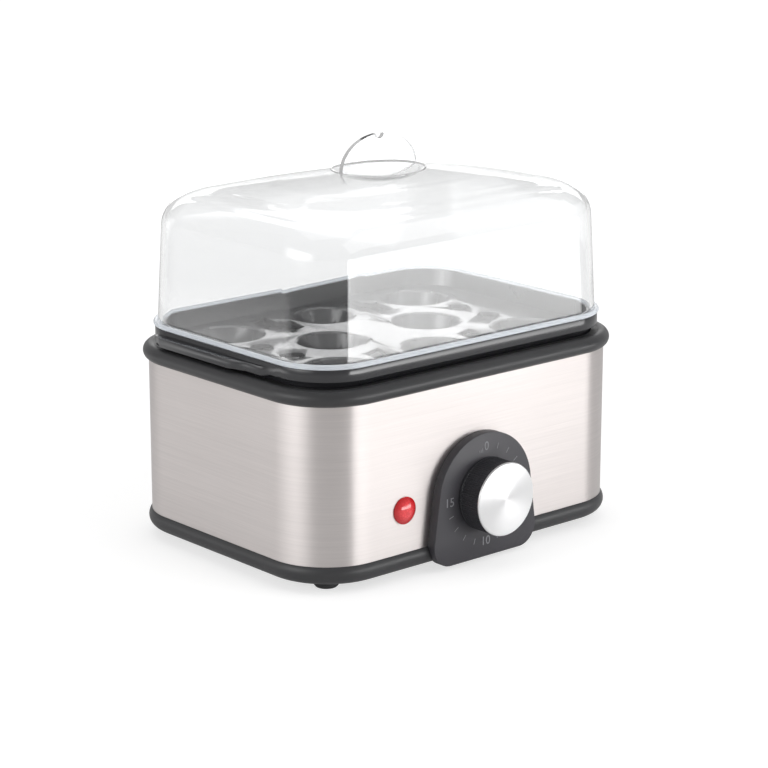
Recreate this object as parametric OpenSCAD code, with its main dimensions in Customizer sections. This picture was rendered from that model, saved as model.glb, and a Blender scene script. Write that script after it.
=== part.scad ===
// Electric egg cooker: a stainless steel wrap between two black mouldings, a heated water dish,
// a lift-out egg tray, a clear lift-off lid and a mechanical timer with its dial on the front.
// Millimetres, +Z up, front face towards -Y. The origin is the bottom centre of the whole cooker.

/* [Body] */
// Width of the steel wrap, side to side
body_w = 210; // [170:1:252]
// Depth of the steel wrap, front to back
body_d = 155; // [150:1:190]
// Corner radius of the steel wrap, seen from above
body_r = 33; // [28:0.5:45]
// Thickness of the steel wrap
band_t = 0.6; // [0.4:0.1:1]
// Height of the steel that shows between the two beads
band_h = 79.2; // [76:0.2:100]
// Wall of the black mouldings
wall = 2; // [1.6:0.1:3]

/* [Base] */
// Height of the rubber feet under the base
foot_h = 4.7; // [4:0.2:9]
// Radius of the rubber feet
foot_r = 6; // [4.5:0.5:8]
// Height of the rounded bead round the base
base_bead_h = 11.2; // [8:0.2:13]
// How far the base bead stands out past the steel
base_bead_out = 1.7; // [1:0.1:3]
// Height of the inner rim that holds the steel wrap
rim_h = 17; // [10:0.5:17]

/* [Top ring] */
// Height of the rounded bead round the top
top_bead_h = 8.4; // [6.6:0.2:11]
// How far the top bead stands out past the steel
top_bead_out = 2.9; // [2:0.1:3.6]
// Width of the ring's mouth wall, from the steel inwards
mouth_in = 6.5; // [5:0.1:7]
// Drop from the top of the bead to the ledge that carries the tray
ledge_drop = 10.5; // [9:0.1:12]
// Radius of the four screw columns
column_r = 4.5; // [3.8:0.1:5]
// Front-to-back distance between the screw columns
column_span = 56; // [40:1:64]

/* [Water dish] */
// Depth of the heated water dish below the ledge
dish_depth = 15; // [10:0.5:18]
// Thickness of the dish's sheet metal
dish_t = 1; // [0.8:0.1:1.5]
// Thickness of the aluminium heat spreader
spreader_t = 4; // [3.2:0.1:5]
// Radius of the tubular heating element
tube_r = 3.3; // [2.8:0.1:4]

/* [Egg tray] */
// Height of the tray's outer skirt
skirt_h = 5.7; // [4:0.1:8]
// Gap between the top bead and the tray's skirt
skirt_gap = 3; // [2:0.1:6]
// Depth of the tray's floor below its rim
tray_depth = 7.1; // [5:0.1:9]
// Radius of the egg holes at the floor
egg_r = 18.2; // [16:0.1:19]
// Side-to-side pitch of the eggs in the outer rows
egg_pitch_x = 62.4; // [56:0.1:68]
// Front-to-back distance from the middle row to an outer row
egg_pitch_y = 43.4; // [40:0.1:46]
// Side-to-side distance of the middle eggs from the centre
egg_mid_x = 31.9; // [28:0.1:38]
// Radius of the small steam holes
steam_r = 6; // [4:0.1:7]
// How far the lifting tabs stand out past the skirt
tab_out = 5; // [4:0.1:6]

/* [Lid] */
// Height of the lid from its flange to its shoulder
lid_h = 70.2; // [60:0.2:90]
// Rise of the crowned top above the shoulder
crown_h = 7.5; // [3:0.5:10]
// Radius of the shoulder
shoulder_r = 19.8; // [12:0.2:24]
// Draft of the lid's walls, in degrees
lid_draft = 2.2; // [1:0.1:4]
// Thickness of the clear plastic
lid_t = 2; // [1.5:0.1:3]
// Length of the finger grip
grip_w = 49.5; // [36:0.5:56]
// Height of the finger grip above the crown
grip_h = 16.8; // [10:0.2:24]

/* [Front] */
// Height of the knob's axis above the table
dial_z = 35.5; // [34:0.5:42]
// Distance of the knob's axis from the middle of the front, towards +X
dial_x = -1.6; // [-4:0.1:4]
// Radius of the dial plate's arched top
dial_r = 31; // [28:0.5:34]
// How far the dial plate stands off the steel
dial_out = 5.5; // [4:0.5:9]
// Radius of the timer knob
knob_r = 18.7; // [14:0.1:22]
// Length of the timer knob
knob_l = 13; // [9:0.5:18]
// Radius of the timer shaft
shaft_r = 3; // [2.5:0.1:3.5]
// Radius of the lamp lens
lamp_r = 6.9; // [5:0.1:9]
// Distance of the lamp from the knob's axis
lamp_x = 49.3; // [44:0.1:56]

/* [Hidden] */
$fn = 64;
eps = 0.01;        // overrun of a cutter
fit = 0.1;         // clearance of a fixed part in its seat
loose = 0.3;       // clearance under a part that lifts off
run_fit = 0.05;    // running clearance of the timer shaft
plastic = "#3a3a3d";
steel = "#c9c6c2";
bare_steel = "#b4b4b6";
zinc = "#a8a69e";

// heights
base_z = foot_h - 0.4;                             // lowest line of the base bead
base_under = foot_h;                               // underside of the base's floor
base_bead_r = base_bead_h / 2;
base_bead_z = base_z + base_bead_r;
base_bead_in = base_bead_r - base_bead_out;
band_show_z = base_bead_z + sqrt(pow(base_bead_r, 2) - pow(base_bead_in, 2));
top_bead_r = top_bead_h / 2;
top_bead_in = top_bead_r - top_bead_out;
top_bead_z = band_show_z + band_h + sqrt(pow(top_bead_r, 2) - pow(top_bead_in, 2));
groove = 2;                                        // depth of the grooves that hold the band
band_z0 = band_show_z - groove;
band_z1 = band_show_z + band_h + groove;
floor_t = 2.5;
floor_z = base_under + floor_t;
ring_top = top_bead_z + top_bead_r;
ledge_z = ring_top - ledge_drop;
ledge_t = 2;
skirt_z = ring_top + skirt_gap;
tray_top = skirt_z + skirt_h;
tray_floor = tray_top - tray_depth;
// insets from the outside of the steel wrap
rim_in = band_t + fit;
skirt_in = 3.5;
locator_in = mouth_in + 0.7;
tray_wall = 1.8;
basin_in = locator_in + tray_wall;
lid_flange_in = 2.7;
lid_in = 4.9;
dish_in = 17.5;                                    // edge of the ledge, over the dish
flange_in = 12.5;                                  // outside of the dish's flange
front_y = -body_d / 2;
// front controls
dial_front = front_y - dial_out;
knob_gap = 0.4;
knob_back = dial_front - knob_gap;
knob_front = knob_back - knob_l;
cap_t = 1.2;
// the knob reaches further in front than the bead does behind
back_reach = body_d / 2 + top_bead_out;
centre_y = (-knob_front + cap_t - back_reach) / 2;

// ---------- shared shapes ----------

// Puts a piece drawn round the body's own centre at its place over the origin
module placed() { translate([0, centre_y, 0]) children(); }

// Puts a piece drawn round the knob's axis at its place on the front
module at_dial() { translate([dial_x, 0, dial_z]) children(); }

// Outline of the body, moved inwards by inset
module outline(inset) {
  w = body_w - 2 * inset;
  d = body_d - 2 * inset;
  r = body_r - inset;
  square([w - 2 * r, d], center = true);
  square([w, d - 2 * r], center = true);
  for (x = [-1, 1], y = [-1, 1]) translate([x * (w / 2 - r), y * (d / 2 - r)]) circle(r);
}

// Upright wall between two insets and two heights
module wall_ring(outer, inner, z0, z1) {
  difference() {
    translate([0, 0, z0]) linear_extrude(z1 - z0) outline(outer);
    translate([0, 0, z0 - eps]) linear_extrude(z1 - z0 + 2 * eps) outline(inner);
  }
}

// Carries a profile round the outline: its x is the distance out of the steel, its y is the height
module round_outline() {
  cx = body_w / 2 - body_r;
  cy = body_d / 2 - body_r;
  for (q = [0 : 3]) {
    sx = (q == 0 || q == 3) ? 1 : -1;
    sy = (q < 2) ? 1 : -1;
    translate([sx * cx, sy * cy, 0]) rotate(90 * q) rotate_extrude(angle = 90)
      translate([body_r, 0]) children();
  }
  for (q = [0, 2]) rotate(90 * q) translate([body_w / 2, 0, 0]) rotate([90, 0, 0])
    linear_extrude(2 * cy, center = true) children();
  for (q = [1, 3]) rotate(90 * q) translate([body_d / 2, 0, 0]) rotate([90, 0, 0])
    linear_extrude(2 * cx, center = true) children();
}

// Cylinder along Y, from y0 towards the back
module rod_y(r, y0, y1) { translate([0, y0, 0]) rotate([-90, 0, 0]) cylinder(r = r, h = y1 - y0); }

// Screw along +Z: head below its seat at z = 0, shank above
module screw(head_r, head_h, shank_r, shank_l) {
  cross_w = 0.9;
  difference() {
    union() {
      translate([0, 0, -head_h]) cylinder(r1 = head_r * 0.8, r2 = head_r, h = head_h * 0.4);
      translate([0, 0, -head_h * 0.6]) cylinder(r = head_r, h = head_h * 0.6);
      cylinder(r = shank_r, h = shank_l - shank_r);
      translate([0, 0, shank_l - shank_r]) cylinder(r1 = shank_r, r2 = 0.4, h = shank_r);
    }
    for (a = [0, 90]) rotate(a) translate([0, 0, -head_h]) cube([head_r * 1.1, cross_w, head_h], center = true);
  }
}

// ---------- base ----------

foot_x = body_w / 2 - 20;
foot_y = body_d / 2 - 18.5;
stem_r = 2.5;
module at_feet() { for (x = [-1, 1], y = [-1, 1]) translate([x * foot_x, y * foot_y, 0]) children(); }

module feet() {
  head_r = 3.8;
  edge = 0.8;
  color("#2b2b2d") placed() at_feet() rotate_extrude() polygon([
    [0, 0], [foot_r - edge, 0], [foot_r, edge], [foot_r, foot_h], [stem_r, foot_h], [stem_r, floor_z],
    [head_r, floor_z], [stem_r * 0.7, floor_z + 2.4], [0, floor_z + 2.4]]);
}

// screws from below into the columns of the top ring
column_x = body_w / 2 - rim_in - wall - loose - column_r;
column_y = column_span / 2;
pad_z = base_under + 4.8;      // top of the pads that the columns stand on
pad_r = column_r + 0.8;
screw_seat = base_under + 2.4;
screw_r = 1.7;
screw_head_r = 3.5;
screw_l = 16;
module at_columns() { for (x = [-1, 1], y = [-1, 1]) translate([x * column_x, y * column_y, 0]) children(); }

module base_screws() {
  color(zinc) placed() at_columns() translate([0, 0, screw_seat]) screw(screw_head_r, 2.2, screw_r, screw_l);
}

module base_pan() {
  rib_t = 1.6;
  rib_h = 5;
  vent_w = 3;
  vent_l = 24;
  color(plastic) placed() difference() {
    union() {
      translate([0, 0, base_under]) linear_extrude(floor_t) outline(base_bead_in + 1.6);
      round_outline() difference() {
        union() {
          translate([-base_bead_in, base_bead_z]) circle(base_bead_r);
          translate([-rim_in - wall, base_bead_z]) square([wall, floor_z + rim_h - base_bead_z]);
        }
        translate([-rim_in, band_z0 - fit]) square([rim_in + fit, base_bead_h]);
        translate([-rim_in - wall - base_bead_h, floor_z]) square([base_bead_h, base_bead_h]);
      }
      at_columns() translate([0, 0, base_under]) cylinder(r = pad_r, h = pad_z - base_under);
      for (s = [-1, 1]) translate([s * 36 - rib_t / 2, -foot_y + 6, floor_z - eps])
        cube([rib_t, 2 * foot_y - 12, rib_h]);
    }
    at_feet() translate([0, 0, base_under - eps]) cylinder(r = stem_r + fit / 2, h = floor_t + 2 * eps);
    at_columns() {
      translate([0, 0, base_under - 1]) cylinder(r = screw_head_r + 0.4, h = screw_seat - base_under + 1);
      translate([0, 0, base_under]) cylinder(r = screw_r + fit, h = pad_z);
    }
    for (x = [-64 : 8 : -48], s = [-1, 1]) translate([s * x - vent_w / 2, -vent_l / 2, base_under - eps])
      cube([vent_w, vent_l, floor_t + 2 * eps]);
  }
}

// ---------- steel wrap ----------

band_hole_r = 12;              // round opening behind the dial plate
lens_body_r = 5.8;
boss_x = 25;                   // side distance of the timer's two fixing bosses
boss_r = 3.5;
gland_z = 36;
gland_r = 6.3;

module body_band() {
  color(steel) placed() difference() {
    wall_ring(0, band_t, band_z0, band_z1);
    at_dial() {
      rod_y(band_hole_r, front_y - 1, front_y + 2);
      for (s = [-1, 1]) translate([s * boss_x, 0, 0]) rod_y(boss_r + fit, front_y - 1, front_y + 2);
    }
    at_lamp() rod_y(lens_body_r + fit, -1, 2);
    translate([0, 0, gland_z]) rod_y(gland_r + fit, -front_y - 2, -front_y + 1);
  }
}

// ---------- top ring and water dish ----------

clamp_x = 52;
clamp_in = 7;                  // inset of the clamp screws
clamp_boss_r = 4.5;
clamp_boss_h = 6;
clamp_screw_r = 1.5;
gasket_t = 1;
ledge_under = ledge_z - ledge_t;
dish_flange_z = ledge_under - gasket_t;       // top of the dish's flange
dish_floor = ledge_z - dish_depth;            // inside floor of the dish
clamp_y = body_d / 2 - clamp_in;
module at_clamps() {
  for (x = [-1, 1], q = [0, 180]) rotate(q) translate([x * clamp_x, clamp_y, 0]) children();
}

module top_ring() {
  skirt_drop = 7;
  color(plastic) placed() difference() {
    union() {
      round_outline() difference() {
        union() {
          translate([-top_bead_in, top_bead_z]) circle(top_bead_r);
          translate([-mouth_in, ledge_under]) square([mouth_in - rim_in, ring_top - ledge_under - 0.6]);
          translate([-dish_in, ledge_under]) square([dish_in - rim_in, ledge_t]);
          translate([-rim_in - wall, ledge_under - skirt_drop]) square([wall, skirt_drop + ledge_t]);
        }
        translate([-rim_in, band_z1 + fit - top_bead_h]) square([rim_in + fit, top_bead_h]);
      }
      at_columns() translate([0, 0, pad_z]) cylinder(r = column_r, h = ledge_z - pad_z - ledge_t / 2);
      at_clamps() translate([0, 0, ledge_under - clamp_boss_h])
        cylinder(r = clamp_boss_r, h = clamp_boss_h + ledge_t / 2);
    }
    at_columns() translate([0, 0, pad_z - eps]) cylinder(r = screw_r + fit / 2, h = screw_l);
    at_clamps() translate([0, 0, ledge_under - clamp_boss_h - eps])
      cylinder(r = clamp_screw_r + fit / 2, h = clamp_boss_h);
  }
}

module plate_gasket() {
  color("#b9482f") placed() wall_ring(flange_in, dish_in, dish_flange_z, ledge_under);
}

module heating_plate() {
  bend = 5;                    // inside radius between the dish's wall and floor
  color(bare_steel) placed() {
    round_outline() difference() {
      union() {
        translate([-dish_in - dish_t - bend, dish_flange_z - dish_t]) square([dish_in + dish_t + bend - flange_in, dish_t]);
        translate([-dish_in - dish_t - bend, dish_floor + bend]) square([dish_t + bend, dish_flange_z - dish_floor - bend]);
        translate([-dish_in - dish_t - bend, dish_floor + bend]) circle(bend + dish_t);
      }
      translate([-dish_in - dish_t - bend, dish_floor + bend]) circle(bend);
      translate([-dish_in - dish_t - 3 * bend, dish_floor + bend]) square([3 * bend, dish_depth]);
      translate([-dish_in - dish_t - 3 * bend, dish_floor - dish_t]) square([2 * bend, dish_depth]);
    }
    translate([0, 0, dish_floor - dish_t]) linear_extrude(dish_t) outline(dish_in + dish_t + bend);
  }
}

spreader_z = dish_floor - dish_t;             // top of the spreader, against the dish
spreader_w = 150;
spreader_d = 92;
spreader_r = 40;
element_w = 124;
element_d = 66;
element_bend = 26;
element_gap = 30;                             // opening between the element's two ends
tube_z = spreader_z - spreader_t - tube_r + 2.4;

// Tube round the heating element's open loop, for a radius
module element_loop(r) {
  hx = element_w / 2 - element_bend;
  hy = element_d / 2 - element_bend;
  for (q = [0 : 3]) {
    sx = (q == 0 || q == 3) ? 1 : -1;
    sy = (q < 2) ? 1 : -1;
    translate([sx * hx, sy * hy, 0]) rotate(90 * q) rotate_extrude(angle = 90) translate([element_bend, 0]) circle(r);
  }
  for (s = [-1, 1]) {
    translate([s * element_w / 2, 0, 0]) rod_y(r, -hy, hy);
    translate([s * (hx + element_gap / 2) / 2, element_d / 2, 0]) rotate([0, 90, 0])
      cylinder(r = r, h = hx - element_gap / 2, center = true);
  }
  translate([0, -element_d / 2, 0]) rotate([0, 90, 0]) cylinder(r = r, h = 2 * hx, center = true);
}

// places of the small screws in the spreader: two for the thermostat, two for the fuse strap
thermo_y = -6;
thermo_x = 12;
fuse_x = 40;
fuse_screw_y = 9;
small_screw_r = 1.5;
module at_spreader_screws() {
  for (s = [-1, 1]) {
    translate([s * thermo_x, thermo_y, 0]) children();
    translate([fuse_x, s * fuse_screw_y, 0]) children();
  }
}

module heat_spreader() {
  color("#c4c6c8") placed() difference() {
    translate([0, 0, spreader_z - spreader_t]) linear_extrude(spreader_t) {
      square([spreader_w - 2 * spreader_r, spreader_d], center = true);
      square([spreader_w, spreader_d - 2 * spreader_r], center = true);
      for (x = [-1, 1], y = [-1, 1])
        translate([x * (spreader_w / 2 - spreader_r), y * (spreader_d / 2 - spreader_r)]) circle(spreader_r);
    }
    translate([0, 0, tube_z]) {
      element_loop(tube_r + fit / 2);
      translate([0, element_d / 2, 0]) rotate([0, 90, 0])
        cylinder(r = tube_r + fit / 2, h = element_gap + 2, center = true);
    }
    at_spreader_screws() translate([0, 0, spreader_z - spreader_t - eps])
      cylinder(r = small_screw_r + fit / 2, h = spreader_t - 0.6);
  }
}

module heating_element() { color("#77736d") placed() translate([0, 0, tube_z]) element_loop(tube_r); }

module element_pins() {
  pin_r = 1.4;
  pin_l = 9;
  bead_l = 3;
  tab = [0.8, 6.3, 9];
  color("#d9d4c8") placed() for (s = [-1, 1])
    translate([s * element_gap / 2, element_d / 2, tube_z]) rotate([0, -s * 90, 0]) {
      cylinder(r = tube_r - 0.4, h = bead_l);
      translate([0, 0, bead_l - eps]) cylinder(r = pin_r, h = pin_l - bead_l);
      translate([-s * tab[2] / 2, 0, pin_l - 1]) cube([tab[2], tab[1], tab[0]], center = true);
    }
}

clamp_t = 1.2;
clamp_w = 14;
module plate_clamps() {
  seat = ledge_under - clamp_boss_h;          // underside of the boss
  lift = dish_flange_z - dish_t;              // underside of the dish's flange
  far = body_d / 2 - rim_in - wall - loose;
  riser = clamp_y - clamp_boss_r - 0.2;
  near = body_d / 2 - dish_in + 0.3;
  color(zinc) placed() difference() {
    for (x = [-1, 1], q = [0, 180]) rotate(q) translate([x * clamp_x - clamp_w / 2, 0, 0])
      rotate([90, 0, 90]) linear_extrude(clamp_w) polygon([
        [far, seat - clamp_t], [far, seat], [riser, seat], [riser, lift], [near, lift],
        [near, lift - clamp_t], [riser - clamp_t, lift - clamp_t], [riser - clamp_t, seat - clamp_t]]);
    at_clamps() translate([0, 0, seat - clamp_t - eps])
      cylinder(r = clamp_screw_r + fit, h = clamp_t + 2 * eps);
  }
}

module clamp_screws() {
  color(zinc) placed() at_clamps() translate([0, 0, ledge_under - clamp_boss_h - clamp_t])
    screw(2.8, 2, clamp_screw_r, 6);
}

thermo_r = 7;
ear_t = 1.2;
module thermostat() {
  can_h = 8;
  tab = [0.8, 4.8, 8];
  under = spreader_z - spreader_t;
  color("#8d8d92") placed() difference() {
    union() {
      translate([0, thermo_y, under - ear_t]) linear_extrude(ear_t) {
        circle(thermo_r + 1);
        square([2 * thermo_x, 7], center = true);
        for (s = [-1, 1]) translate([s * thermo_x, 0]) circle(3.5);
      }
      translate([0, thermo_y, under - ear_t - can_h]) cylinder(r = thermo_r, h = can_h + eps);
      for (s = [-1, 1]) translate([s * 4, thermo_y, under - ear_t - can_h - tab[2] / 2 + eps]) cube(tab, center = true);
    }
    at_spreader_screws() translate([0, 0, under - ear_t - eps]) cylinder(r = small_screw_r + fit, h = ear_t + 2 * eps);
  }
}

fuse_r = 2.2;
strap_t = 0.8;
fuse_z = spreader_z - spreader_t - fuse_r - fit / 2;
module thermal_fuse() {
  fuse_l = 22;
  lead_l = 6;
  color("#e6e0d0") placed() translate([fuse_x, 0, fuse_z]) rotate([0, 90, 0]) {
    cylinder(r = fuse_r, h = fuse_l, center = true);
    cylinder(r = 0.5, h = fuse_l + 2 * lead_l, center = true);
  }
}

module fuse_strap() {
  strap_w = 8;
  under = spreader_z - spreader_t;
  outer = fuse_r + fit + strap_t;
  color(zinc) placed() difference() {
    translate([fuse_x, 0, 0]) rotate([90, 0, 90]) linear_extrude(strap_w, center = true) difference() {
      union() {
        translate([0, fuse_z]) circle(outer);
        translate([-outer, fuse_z]) square([2 * outer, under - fuse_z]);
        translate([-fuse_screw_y - 3.5, under - strap_t]) square([2 * fuse_screw_y + 7, strap_t]);
      }
      translate([0, fuse_z]) circle(fuse_r + fit);
      translate([-fuse_r - fit, fuse_z]) square([2 * (fuse_r + fit), outer]);
      translate([-outer * 2, under]) square([outer * 4, outer]);
    }
    at_spreader_screws() translate([0, 0, under - outer * 2]) cylinder(r = small_screw_r + fit, h = outer * 3);
  }
}

module spreader_screws() {
  under = spreader_z - spreader_t;
  color(zinc) placed() {
    for (s = [-1, 1]) {
      translate([s * thermo_x, thermo_y, under - ear_t]) screw(2.6, 1.8, small_screw_r, 4);
      translate([fuse_x, s * fuse_screw_y, under - strap_t]) screw(2.6, 1.8, small_screw_r, 3.6);
    }
  }
}

// ---------- timer and its dial ----------

timer_front = front_y + rim_in + wall + 0.5;    // face of the timer's mounting plate
timer_plate_t = 1.2;
timer_r = 21;
timer_l = 18;
timer_back = timer_front + timer_plate_t + timer_l;
nose_r = 6;
nose_l = 5;
shaft_in = 14;                                  // length of shaft inside the timer
module timer_body() {
  plate_r = 7;
  color("#9d9a92") placed() at_dial() difference() {
    union() {
      translate([0, timer_front + timer_plate_t, 0]) rotate([90, 0, 0]) linear_extrude(timer_plate_t) {
        circle(timer_r);
        square([2 * boss_x, 2 * plate_r], center = true);
        for (s = [-1, 1]) translate([s * boss_x, 0]) circle(plate_r);
      }
      rod_y(timer_r - 0.5, timer_front + timer_plate_t - eps, timer_back);
      rod_y(nose_r, timer_front - nose_l, timer_front + eps);
      for (s = [-1, 1]) translate([s * 8, timer_back - 8, -timer_r - 1]) cube([6.3, 0.8, 8], center = true);
    }
    rod_y(shaft_r + run_fit, timer_front - nose_l - eps, timer_front + shaft_in + 1);
    for (s = [-1, 1]) translate([s * boss_x, 0, 0])
      rod_y(small_screw_r + fit, timer_front - eps, timer_front + timer_plate_t + eps);
  }
}

bell_r = 18;
module timer_bell() {
  bell_h = 8;
  bell_t = 1;
  post_r = 2.5;
  bell_lift = 1.5;             // gap between the bell and the timer's back
  color("#b9b7b0") placed() at_dial() translate([0, timer_back, 0]) rotate([-90, 0, 0]) {
    cylinder(r = post_r, h = bell_lift + bell_h - bell_t / 2);
    translate([0, 0, bell_lift]) rotate_extrude() polygon([
      [bell_r, 0], [bell_r, bell_h - 4], [bell_r - 4, bell_h - 0.5], [0, bell_h], [0, bell_h - bell_t],
      [bell_r - 4.4, bell_h - 0.5 - bell_t], [bell_r - bell_t, bell_h - 4.4], [bell_r - bell_t, 0]]);
  }
}

module timer_screws() {
  color(zinc) placed() at_dial() for (s = [-1, 1]) translate([s * boss_x, timer_front + timer_plate_t, 0])
    rotate([90, 0, 0]) screw(2.8, 2, small_screw_r, 7);
}

// outline of the dial plate, round the knob's axis: an arch whose sides run down to round corners
corner_r = 11;
corner_x = 23.3;
corner_z = 2.5 + corner_r - dial_z;
module dial_outline(inset) {
  reach = sqrt(pow(corner_x, 2) + pow(corner_z, 2));
  lean = atan2(corner_z, corner_x) + acos((dial_r - corner_r) / reach);
  side = [cos(lean), sin(lean)];
  big = dial_r - inset;
  small = corner_r - inset;
  circle(big);
  for (s = [-1, 1]) translate([s * corner_x, corner_z]) circle(small);
  polygon([
    [-big * side[0], big * side[1]], [big * side[0], big * side[1]],
    [corner_x + small * side[0], corner_z + small * side[1]],
    [corner_x, corner_z], [corner_x, corner_z - small], [-corner_x, corner_z - small],
    [-corner_x, corner_z], [-corner_x - small * side[0], corner_z + small * side[1]]]);
}

module dial_plate() {
  face_t = 2;
  color(plastic) placed() at_dial() difference() {
    union() {
      difference() {
        translate([0, front_y, 0]) rotate([90, 0, 0]) linear_extrude(dial_out) dial_outline(0);
        translate([0, front_y + eps, 0]) rotate([90, 0, 0]) linear_extrude(dial_out - face_t) dial_outline(wall);
      }
      for (s = [-1, 1]) translate([s * boss_x, 0, 0]) rod_y(boss_r, dial_front + eps, timer_front);
    }
    rod_y(nose_r - 1, dial_front - eps, front_y);
    for (s = [-1, 1]) translate([s * boss_x, 0, 0])
      rod_y(small_screw_r + fit / 2, dial_front + face_t, timer_front + eps);
    translate([-body_w / 2, front_y + base_bead_in, base_bead_z - dial_z]) rotate([0, 90, 0])
      cylinder(r = base_bead_r + fit, h = body_w);
  }
}

shaft_flat = 1;                // depth of the flat on the shaft's end
module shaft_section(clear) {
  difference() {
    circle(shaft_r + clear);
    translate([-shaft_r * 2, shaft_r - shaft_flat + clear]) square(shaft_r * 4);
  }
}

module timer_shaft() {
  color(zinc) placed() at_dial() translate([0, timer_front + shaft_in, 0]) rotate([90, 0, 0]) {
    cylinder(r = shaft_r, h = timer_front + shaft_in - knob_back);
    translate([0, 0, timer_front + shaft_in - knob_back - eps]) linear_extrude(knob_l - 3) shaft_section(0);
  }
}

module knob_body() {
  ribs = 96;
  rib_h = 0.35;
  collar = 1.2;                // plain collar next to the dial
  hub_r = 6;
  shell = 2;
  end_t = 2.2;
  pitch = 360 / ribs;
  root_r = knob_r - rib_h - 0.1;
  color("#29292b") placed() at_dial() translate([0, knob_back, 0]) rotate([90, 0, 0]) difference() {
    union() {
      cylinder(r = knob_r, h = collar);
      translate([0, 0, collar - eps]) linear_extrude(knob_l - collar) polygon([for (i = [0 : ribs - 1], k = [0, 0.5])
        (k == 0 ? root_r : root_r + rib_h) * [cos((i + k) * pitch), sin((i + k) * pitch)]]);
    }
    difference() {
      translate([0, 0, -eps]) cylinder(r = root_r - shell, h = knob_l - end_t);
      translate([0, 0, -1]) cylinder(r = hub_r, h = knob_l);
    }
    translate([0, 0, -eps]) linear_extrude(knob_l - 2.8) shaft_section(fit / 4);
  }
}

module knob_cap() {
  bevel = 0.5;
  cap_r = knob_r - 0.1;
  color("#e4e4e6") placed() at_dial() translate([0, knob_front, 0]) rotate([90, 0, 0]) rotate_extrude() polygon([
    [0, 0], [cap_r, 0], [cap_r, cap_t - bevel], [cap_r - bevel, cap_t], [0, cap_t]]);
}

// ---------- lamp ----------

lens_hollow = 3.6;
lens_l = 15;
module at_lamp() { at_dial() translate([-lamp_x, front_y, 0]) children(); }

module lamp_lens() {
  dome_h = 2.4;
  dome_r = (pow(lamp_r, 2) + pow(dome_h, 2)) / (2 * dome_h);
  rim = 0.6;
  color("#d8202c") placed() at_lamp() difference() {
    union() {
      rotate([90, 0, 0]) cylinder(r = lamp_r, h = rim);
      intersection() {
        translate([0, dome_r - dome_h - rim, 0]) sphere(dome_r);
        rod_y(lamp_r, -dome_h - rim - 1, -rim + eps);
      }
      rod_y(lens_body_r, -eps, lens_l);
    }
    rod_y(lens_hollow, 1, lens_l + eps);
  }
}

module lamp_bulb() {
  bulb_r = lens_hollow - 0.3;
  color("#f2b48a") placed() at_lamp() {
    rod_y(bulb_r, 1.6 + bulb_r, lens_l + 1);
    translate([0, 1.6 + bulb_r, 0]) sphere(bulb_r);
    for (s = [-1, 1]) translate([s * 1.2, 0, 0]) rod_y(0.4, lens_l, lens_l + 7);
  }
}

module lamp_clip() {
  clip_t = 0.8;
  color(zinc) placed() at_lamp() difference() {
    rod_y(lens_body_r + 3, band_t + fit / 2, band_t + fit / 2 + clip_t);
    rod_y(lens_body_r + fit / 2, 0, band_t + 3);
    for (a = [0 : 60 : 300]) rotate([0, a, 0]) translate([lens_body_r + 0.8, 1, 0]) cube([1.6, 4, 1], center = true);
  }
}

// ---------- mains connection ----------

block_w = 34;
block_d = 16;
block_h = 13;
block_y = 42;
ways = 3;
way_pitch = 10.5;
module terminal_block() {
  color("#e9e6de") placed() difference() {
    union() {
      translate([-block_w / 2, block_y - block_d / 2, floor_z]) cube([block_w, block_d, block_h - 4]);
      for (i = [-1, 0, 1]) translate([i * way_pitch, block_y, floor_z + block_h - 4 - eps]) cylinder(r = 4, h = 4);
    }
    for (i = [-1, 0, 1]) {
      translate([i * way_pitch, block_y, floor_z + 4.5]) rod_y(2.1, -block_d, block_d);
      translate([i * way_pitch, block_y, floor_z + 4.5]) cylinder(r = 2.2, h = block_h);
    }
  }
}

module terminal_screws() {
  color(zinc) placed() for (i = [-1, 0, 1]) translate([i * way_pitch, block_y, floor_z + 7.5]) difference() {
    cylinder(r = 2.1, h = 4.5);
    translate([0, 0, 4.5]) cube([5, 0.8, 1.6], center = true);
  }
}

gland_bore = 3.5;
module cord_gland() {
  flange_r = 9;
  flange_t = 2.6;
  tail = 11;
  color("#242426") placed() translate([0, -front_y, gland_z]) rotate([-90, 0, 0]) rotate_extrude() polygon([
    [gland_bore, -tail], [gland_r, -tail], [gland_r, 0], [flange_r, 0], [flange_r, flange_t - 1],
    [flange_r - 1, flange_t], [gland_bore + 0.8, flange_t], [gland_bore, flange_t - 0.8]]);
}

module gland_lock() {
  lock_t = 2;
  color("#d7d4cb") placed() translate([0, -front_y - band_t - fit / 2 - lock_t, gland_z]) difference() {
    rod_y(gland_r + 2.4, 0, lock_t);
    rod_y(gland_r + fit / 2, -1, lock_t + 1);
    translate([-gland_r, -1, gland_r * 0.6]) cube([2 * gland_r, lock_t + 2, gland_r * 2]);
  }
}

// ---------- egg tray ----------

cup_bottom_r = egg_r - 3;
cup_drop = 8;                  // depth of an egg cup below the tray's floor
cup_wall = 1.6;
slot_x = egg_pitch_x / 2;
slot_y = 44.5;
steam_x = 66;
steam_y = 11.5;
tray_floor_t = 2.2;
EGGS = concat(
  [for (x = [-1, 0, 1], y = [-1, 1]) [x * egg_pitch_x, y * egg_pitch_y]],
  [for (x = [-1, 1]) [x * egg_mid_x, 0]]);

// Stepped steam slot, like a short bolt of lightning, the same turned half round
module bolt_slot() {
  half = [[-7, 13], [6.5, 18], [3.5, 2.5], [9, 4.5]];
  polygon(concat(half, [for (p = half) -p]));
}

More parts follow.
